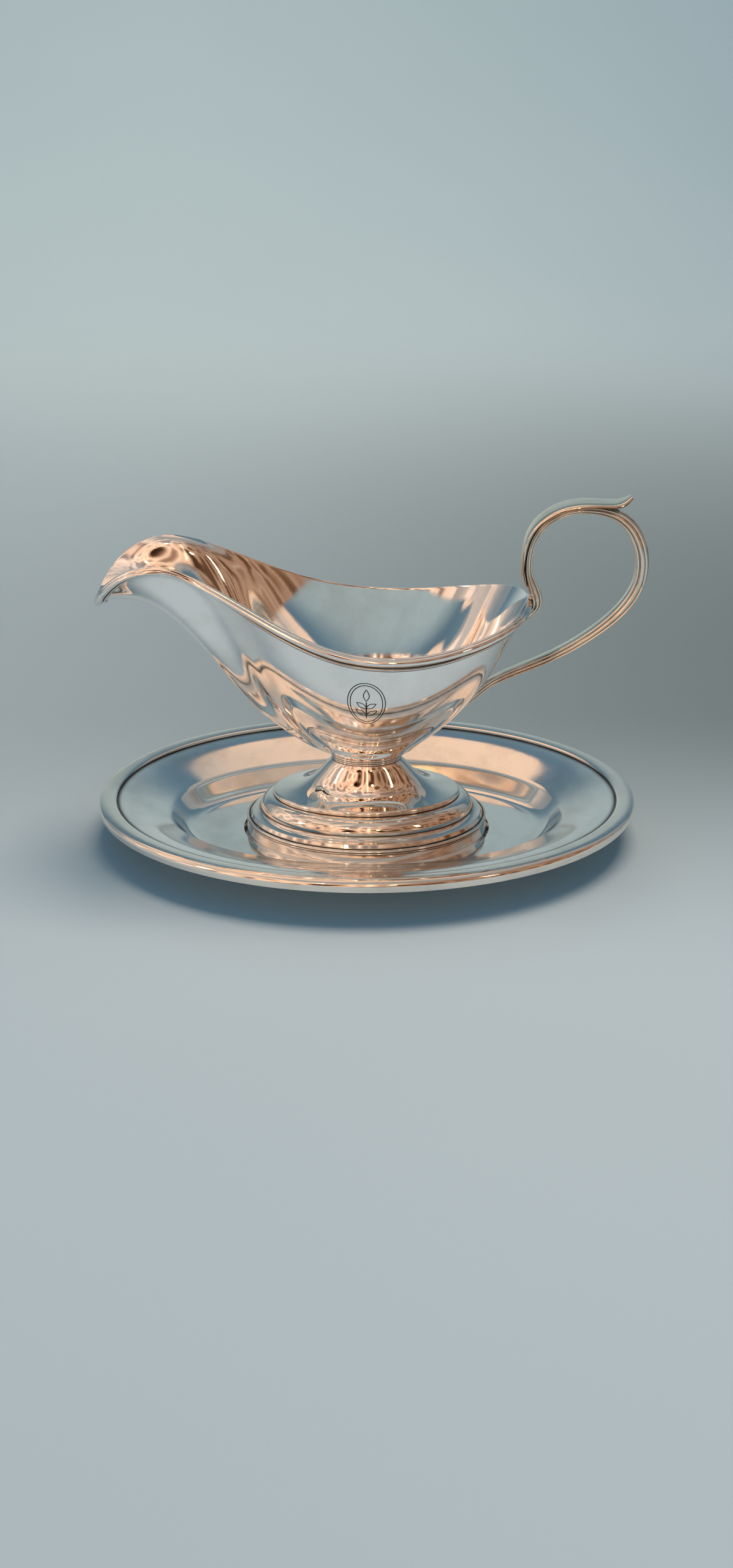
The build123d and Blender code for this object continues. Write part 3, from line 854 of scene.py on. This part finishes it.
# ---------------------------------------------------------------- materials
class Tree:
    """Short helper for building a node tree."""

    def __init__(self, tree):
        self.tree = tree
        tree.nodes.clear()

    def add(self, kind, **inputs):
        """New node with its inputs set or linked by name, or by number as _0, _1."""
        node = self.tree.nodes.new(kind)
        for name, value in inputs.items():
            socket = node.inputs[int(name[1:])] if name.startswith("_") else node.inputs[name]
            if isinstance(value, bpy.types.NodeSocket):
                self.tree.links.new(value, socket)
            else:
                socket.default_value = value
        return node

    def maths(self, operation, first, second):
        node = self.add("ShaderNodeMath", _0=first, _1=second)
        node.operation = operation
        return node.outputs[0]

    def either(self, first, second):
        return self.maths("MAXIMUM", first, second)

    def noise(self, vector, scale, detail=3.0, rough=0.55):
        node = self.add("ShaderNodeTexNoise", Vector=vector, Scale=scale, Detail=detail, Roughness=rough)
        return node.outputs[0]

    def stretched(self, vector, scale, turn=(0.0, 0.0, 0.0)):
        node = self.add("ShaderNodeMapping", Vector=vector, Scale=scale, Rotation=turn)
        return node.outputs[0]

    def ranged(self, value, low, high, to_low, to_high):
        """The value moved from low..high to to_low..to_high, and held there beyond them."""
        node = self.add(
            "ShaderNodeMapRange",
            **{"Value": value, "From Min": low, "From Max": high, "To Min": to_low, "To Max": to_high},
        )
        return node.outputs[0]

    def eased(self, value, low, high, to_low, to_high):
        """As ranged, with a soft start and end."""
        output = self.ranged(value, low, high, to_low, to_high)
        output.node.interpolation_type = "SMOOTHSTEP"
        return output

    def mixed(self, factor, first, second):
        """Colour between two, each a socket or three numbers; factor 0 gives the first."""
        node = self.add("ShaderNodeMix")
        node.data_type = "RGBA"
        for index, value in ((0, factor), (6, first), (7, second)):
            if isinstance(value, bpy.types.NodeSocket):
                self.tree.links.new(value, node.inputs[index])
            else:
                node.inputs[index].default_value = (*value, 1.0) if index else value
        return node.outputs[2]

    def ramp(self, value, stops):
        """Colour at the value, from stops of place and colour."""
        node = self.add("ShaderNodeValToRGB", Fac=value)
        elements = node.color_ramp.elements
        while len(elements) < len(stops):
            elements.new(0.5)
        for element, (at, colour) in zip(elements, stops):
            element.position = at
            element.color = (*colour, 1.0)
        return node.outputs[0]

    def surface(self, metallic, colour, roughness, **normal):
        """Finish a material: one surface shader and the material's output."""
        inputs = {"Metallic": metallic, "Base Color": colour, "Roughness": roughness}
        shader = self.add("ShaderNodeBsdfPrincipled", **inputs, **normal)
        self.add("ShaderNodeOutputMaterial", Surface=shader.outputs[0])


def new_material(name):
    """New material, the helper for its tree, and a point's place on its object in metres."""
    material = bpy.data.materials.new(name)
    material.use_nodes = True
    tree = Tree(material.node_tree)
    return material, tree, tree.add("ShaderNodeTexCoord").outputs["Object"]


# Colours of the metals, as linear red, green and blue.
SILVER = (0.95, 0.925, 0.895)
# Lighter tint for the bowl than for the other silver: painted light that brightens its reflections.
PAINTED_BRIGHT_SILVER = (0.99, 0.965, 0.94)
STAND_SILVER = (0.95, 0.91, 0.865)
WARM_SILVER = (0.96, 0.88, 0.80)
GOLDEN_SILVER = (0.95, 0.84, 0.71)
TARNISH = (0.15, 0.10, 0.07)
# Painted shade for creases, grooves and joins.
PAINTED_CREASE_SHADE = (0.045, 0.032, 0.025)
SOLDER = (0.86, 0.80, 0.73)
FLUX_STAIN = (0.035, 0.024, 0.018)

# Features per metre of the metal's marks, along each axis or in all directions.
POLISHING_LINES = (60.0, 2600.0, 2600.0)
CROSS_LINES = (1900.0, 90.0, 1900.0)
CROSS_TURN = (0.4, 0.3, 0.5)
SOFT_WAVES = 46.0
TARNISH_CLOUDS = 38.0
TARNISH_SPECKS = 620.0

# Heights of the marks in metres.
WAVE_HEIGHT = 0.004
LINE_HEIGHT = 0.0001


def silver(name, tint, rough, scratches, waves, tarnish):
    """Polished silver with fine polishing lines, soft unevenness, a little tarnish and painted shade in its
    creases.
    """
    material, tree, spot = new_material(name)
    lines = tree.noise(tree.stretched(spot, POLISHING_LINES), 1.0, 4.0)
    cross = tree.noise(tree.stretched(spot, CROSS_LINES, CROSS_TURN), 1.0, 3.0)
    marks = tree.maths("ADD", tree.maths("MULTIPLY", lines, 0.65), tree.maths("MULTIPLY", cross, 0.35))
    uneven = tree.noise(spot, SOFT_WAVES, 2.0, 0.45)
    cloud = tree.noise(spot, TARNISH_CLOUDS, 6.0, 0.62)
    specks = tree.noise(spot, TARNISH_SPECKS, 2.0, 0.5)
    soft = tree.add("ShaderNodeBump", Strength=waves, Distance=WAVE_HEIGHT, Height=uneven).outputs[0]
    fine = tree.add("ShaderNodeBump", Strength=scratches, Distance=LINE_HEIGHT, Height=marks, Normal=soft)
    film = tree.ranged(cloud, 0.46, 0.78, 0.0, tarnish)
    dots = tree.ranged(specks, 0.77, 0.82, 0.0, 0.8 * tarnish)
    tarnished = tree.either(film, dots)
    # Painted shade from each point's crease value, made a little uneven by the tarnish clouds.
    groove = tree.add("ShaderNodeAttribute")
    groove.attribute_name = "crevice"
    crease_shade = tree.maths("MULTIPLY", groove.outputs["Fac"], tree.ranged(cloud, 0.3, 0.6, 0.85, 1.0))
    colour = tree.mixed(crease_shade, tree.mixed(tarnished, tint, TARNISH), PAINTED_CREASE_SHADE)
    worn = tree.ranged(marks, 0.38, 0.66, rough, rough * 1.7)
    dulled = tree.maths("MULTIPLY", tree.either(tarnished, crease_shade), 0.25)
    tree.surface(1.0, colour, tree.maths("ADD", worn, dulled), Normal=fine.outputs[0])
    return material


def solder_metal():
    """Solder that was polished with the silver, with dark flux stains left at the ends of the foot."""
    material, tree, spot = new_material("solder")
    blotch = tree.noise(spot, 210.0, 5.0, 0.6)
    grain = tree.noise(spot, 1400.0, 3.0)
    from_middle = tree.maths("ABSOLUTE", tree.add("ShaderNodeSeparateXYZ", Vector=spot).outputs["X"], 0.0)
    foot_end = FOOT_HALF_LENGTH * MM
    at_end = tree.eased(from_middle, 0.85 * foot_end, foot_end, 0.0, 1.0)
    stain = tree.maths("MULTIPLY", at_end, tree.ranged(blotch, 0.36, 0.52, 0.15, 1.0))
    bump = tree.add("ShaderNodeBump", Strength=0.3, Distance=0.0002, Height=grain)
    dulled = tree.maths("MULTIPLY", stain, 0.4)
    rough = tree.maths("ADD", tree.ranged(grain, 0.3, 0.7, 0.10, 0.20), dulled)
    tree.surface(0.95, tree.mixed(stain, SOLDER, FLUX_STAIN), rough, Normal=bump.outputs[0])
    return material


def cut_metal():
    """Dark bottom of an engraved line."""
    material, tree, spot = new_material("engraved_line")
    patch = tree.noise(spot, 500.0, 3.0)
    darkness = tree.ranged(patch, 0.35, 0.65, 0.0, 1.0)
    colour = tree.mixed(darkness, (0.020, 0.016, 0.014), (0.075, 0.06, 0.05))
    tree.surface(0.4, colour, tree.ranged(patch, 0.3, 0.7, 0.35, 0.55))
    return material


# ---------------------------------------------------------------- stage, lights and world
# Metres: the sheet runs from STAGE_FRONT to SWEEP_START, bends up and ends at STAGE_TOP.
STAGE_FRONT = -2.6
SWEEP_START = 1.1
SWEEP_RADIUS = 0.9
STAGE_TOP = 3.2
STAGE_HALF_WIDTH = 3.0
STAGE_BELOW = 0.0003


def floor_material():
    """Pale matt paint with a painted soft shadow behind the object, mostly on its right."""
    material, tree, spot = new_material("floor")
    pale = tree.mixed(tree.noise(spot, 2.2, 2.0, 0.4), (0.53, 0.63, 0.69), (0.58, 0.68, 0.73))
    axes = tree.add("ShaderNodeSeparateXYZ", Vector=spot).outputs
    # Painted shadow: darker behind the object and towards its right, fading out far back.
    behind = tree.eased(axes["Y"], -0.13, 0.13, 0.0, 1.0)
    far = tree.eased(axes["Y"], 0.15, 1.35, 1.0, 0.0)
    aside = tree.eased(axes["X"], -0.35, 0.30, 0.30, 1.0)
    shade = tree.maths("MULTIPLY", tree.maths("MULTIPLY", behind, far), aside)
    tree.surface(0.0, tree.mixed(shade, pale, (0.17, 0.22, 0.235)), 0.75)
    return material


def make_stage():
    """A pale sheet that lies under the object and rises in one sweep behind it."""
    profile = [(y, 0.0) for y in np.linspace(STAGE_FRONT, SWEEP_START, 12)]
    for turn in np.linspace(0.0, 0.5 * math.pi, 16)[1:]:
        rise = SWEEP_RADIUS * (1 - math.cos(turn))
        profile.append((SWEEP_START + SWEEP_RADIUS * math.sin(turn), rise))
    profile.append((SWEEP_START + SWEEP_RADIUS, STAGE_TOP))
    columns = np.linspace(-STAGE_HALF_WIDTH, STAGE_HALF_WIDTH, 13)
    points = [(x, y, z - STAGE_BELOW) for y, z in profile for x in columns]
    width = len(columns)
    faces = []
    for i in range(len(profile) - 1):
        for j in range(width - 1):
            k = i * width + j
            faces.append((k, k + 1, k + width + 1, k + width))
    mesh = bpy.data.meshes.new("floor")
    mesh.from_pydata(points, [], faces)
    mesh.shade_smooth()
    mesh.materials.append(floor_material())
    floor = bpy.data.objects.new("floor", mesh)
    bpy.context.scene.collection.objects.link(floor)


def area_light(name, at, aim, size, watts, colour, mirrored_too=True):
    """Soft rectangular light that the camera doesn't see, and that the metal may mirror."""
    data = bpy.data.lights.new(name, "AREA")
    data.shape = "RECTANGLE"
    data.size, data.size_y = size
    data.energy = watts
    data.color = colour
    lamp = bpy.data.objects.new(name, data)
    lamp.location = at
    lamp.rotation_euler = (Vector(aim) - Vector(at)).to_track_quat("-Z", "Y").to_euler()
    lamp.visible_camera = False
    lamp.visible_glossy = mirrored_too
    bpy.context.scene.collection.objects.link(lamp)


def make_lights():
    """Three large lights for the floor and wall, then the small ones that show as highlights."""
    middle = (0.0, 0.0, 0.06)
    area_light("key_light", (0.25, 0.30, 1.5), (0.0, -0.5, 0.0), (0.8, 0.7), 19.0, (1.0, 0.78, 0.61), False)
    area_light("wall_light", (-0.55, 0.9, 1.0), (-0.45, 2.0, 0.3), (1.6, 0.3), 7.0, (1.0, 0.85, 0.62), False)
    area_light("upper_light", (0.7, 1.0, 1.2), (0.6, 2.0, 0.9), (0.6, 0.4), 2.6, (1.0, 0.88, 0.72), False)
    area_light("window_strip", (0.03, -1.15, 0.72), middle, (0.04, 0.62), 0.07, (1.0, 0.80, 0.52))
    area_light("left_window", (-1.05, -0.75, 0.62), middle, (0.10, 0.40), 0.24, (1.0, 0.86, 0.70))
    area_light("right_window", (0.80, -0.95, 0.72), middle, (0.10, 0.44), 0.26, (1.0, 0.84, 0.64))
    area_light("front_lamp", (0.16, -1.1, 0.62), middle, (0.04, 0.04), 0.16, (1.0, 0.74, 0.38))
    area_light("small_lamp", (-0.28, -1.0, 1.0), middle, (0.04, 0.04), 0.12, (1.0, 0.78, 0.48))


# Middle of the soft warm glow above and behind, as a unit direction.
GLOW_DIRECTION = (-0.22, 0.46, 0.86)

# What dull surfaces are filled with, and what the camera sees past the stage.
DULL_SURFACE_FILL = (0.08, 0.23, 0.34)
CAMERA_BACKGROUND = (0.34, 0.40, 0.41)

DARK_CORNER = (0.09, 0.04, 0.022)
BROWN_WALL = (0.40, 0.21, 0.125)
ROOM_PATTERN = [
    (0.370, (0.010, 0.005, 0.003)),
    (0.412, DARK_CORNER),
    (0.432, BROWN_WALL),
    (0.462, (0.98, 0.60, 0.40)),
    (0.518, (1.05, 0.67, 0.45)),
    (0.530, (1.6, 1.2, 0.85)),
    (0.545, (0.98, 0.61, 0.41)),
    (0.590, (0.38, 0.20, 0.12)),
    (0.640, DARK_CORNER),
]


def warm_room(tree, direction, axes):
    """Streaked warm room: paler above, bronze towards +X and rosy towards -X."""
    streaks = tree.noise(tree.stretched(direction, (5.6, 5.6, 0.45), (0.0, 0.0, 0.3)), 1.0, 1.1, 0.5)
    bands = tree.noise(tree.stretched(direction, (0.5, 0.5, 6.0)), 1.0, 1.0, 0.5)
    pattern = tree.maths("ADD", tree.maths("MULTIPLY", streaks, 0.72), tree.maths("MULTIPLY", bands, 0.28))
    room = tree.ramp(pattern, ROOM_PATTERN)
    room = tree.mixed(tree.eased(axes["Z"], 0.55, 0.85, 0.0, 0.45), room, (0.80, 0.76, 0.72))
    room = tree.mixed(tree.eased(axes["X"], -0.02, 0.32, 0.0, 0.74), room, (0.16, 0.078, 0.040))
    return tree.mixed(tree.ranged(axes["X"], -0.45, -0.85, 0.0, 0.55), room, (1.0, 0.86, 0.76))


def make_world():
    """Warm room behind the camera and cool light elsewhere, as reflections see it."""
    world = bpy.data.worlds.new("studio")
    world.use_nodes = True
    bpy.context.scene.world = world
    tree = Tree(world.node_tree)
    direction = tree.add("ShaderNodeTexCoord").outputs["Generated"]
    axes = tree.add("ShaderNodeSeparateXYZ", Vector=direction).outputs
    height = tree.ranged(axes["Z"], 0.0, 0.9, 0.0, 1.0)
    cool = tree.mixed(height, (0.20, 0.25, 0.28), (0.36, 0.36, 0.35))
    front = tree.ranged(tree.maths("SUBTRACT", 0.0, axes["Y"]), -0.35, 0.05, 0.0, 1.0)
    low = tree.ranged(axes["Z"], 0.84, 0.97, 1.0, 0.0)
    mirrored_light = tree.mixed(tree.maths("MULTIPLY", front, low), cool, warm_room(tree, direction, axes))
    toward_glow = tree.add("ShaderNodeVectorMath", _0=direction, _1=GLOW_DIRECTION)
    toward_glow.operation = "DOT_PRODUCT"
    glow = tree.eased(toward_glow.outputs["Value"], 0.84, 1.0, 0.0, 1.0)
    mirrored_light = tree.mixed(glow, mirrored_light, (0.95, 0.68, 0.50))
    rays = tree.add("ShaderNodeLightPath").outputs
    by_ray = tree.mixed(rays["Is Diffuse Ray"], mirrored_light, DULL_SURFACE_FILL)
    by_ray = tree.mixed(rays["Is Camera Ray"], by_ray, CAMERA_BACKGROUND)
    light = tree.add("ShaderNodeBackground", Color=by_ray, Strength=1.0)
    tree.add("ShaderNodeOutputWorld", Surface=light.outputs[0])


# ---------------------------------------------------------------- build
bpy.context.scene.view_settings.view_transform = "Standard"
make_camera()
make_stage()
make_lights()
make_world()

stand_silver = silver("stand_silver", STAND_SILVER, 0.07, 0.06, 0.018, 0.30)
border_silver = silver("border_silver", WARM_SILVER, 0.03, 0.05, 0.020, 0.25)
foot_silver = silver("foot_silver", WARM_SILVER, 0.02, 0.04, 0.012, 0.25)
bowl_silver = silver("bowl_silver", PAINTED_BRIGHT_SILVER, 0.03, 0.08, 0.016, 0.22)
moulding_silver = silver("moulding_silver", SILVER, 0.025, 0.04, 0.015, 0.30)
handle_silver = silver("handle_silver", GOLDEN_SILVER, 0.025, 0.05, 0.020, 0.30)
solder = solder_metal()

place(stand_plate_piece(), "stand_plate", stand_silver)
place(stand_border_piece(), "stand_border", border_silver)
place(foot_apron_piece(), "foot_apron", foot_silver)
place(foot_shell_piece(), "foot_shell", foot_silver)
place(neck_collar_piece(), "neck_collar", foot_silver)
place(bowl_piece(), "bowl_shell", bowl_silver)
place(rim_moulding_piece("rim_bead_near", 1.0), "rim_moulding_near", moulding_silver)
place(rim_moulding_piece("rim_bead_far", -1.0), "rim_moulding_far", moulding_silver)
place(handle_piece(), "handle_loop", handle_silver)
place(leaf_piece(), "thumb_leaf", handle_silver)

engraving = engraving_piece()
engraving.data.materials.append(cut_metal())
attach(engraving, ROOT)

for node, material in (
    ("foot_solder", solder),
    ("neck_solder", solder),
    ("handle_upper_pad", handle_silver),
    ("handle_lower_pad", handle_silver),
):
    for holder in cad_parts[node].material_slots:
        holder.material = material
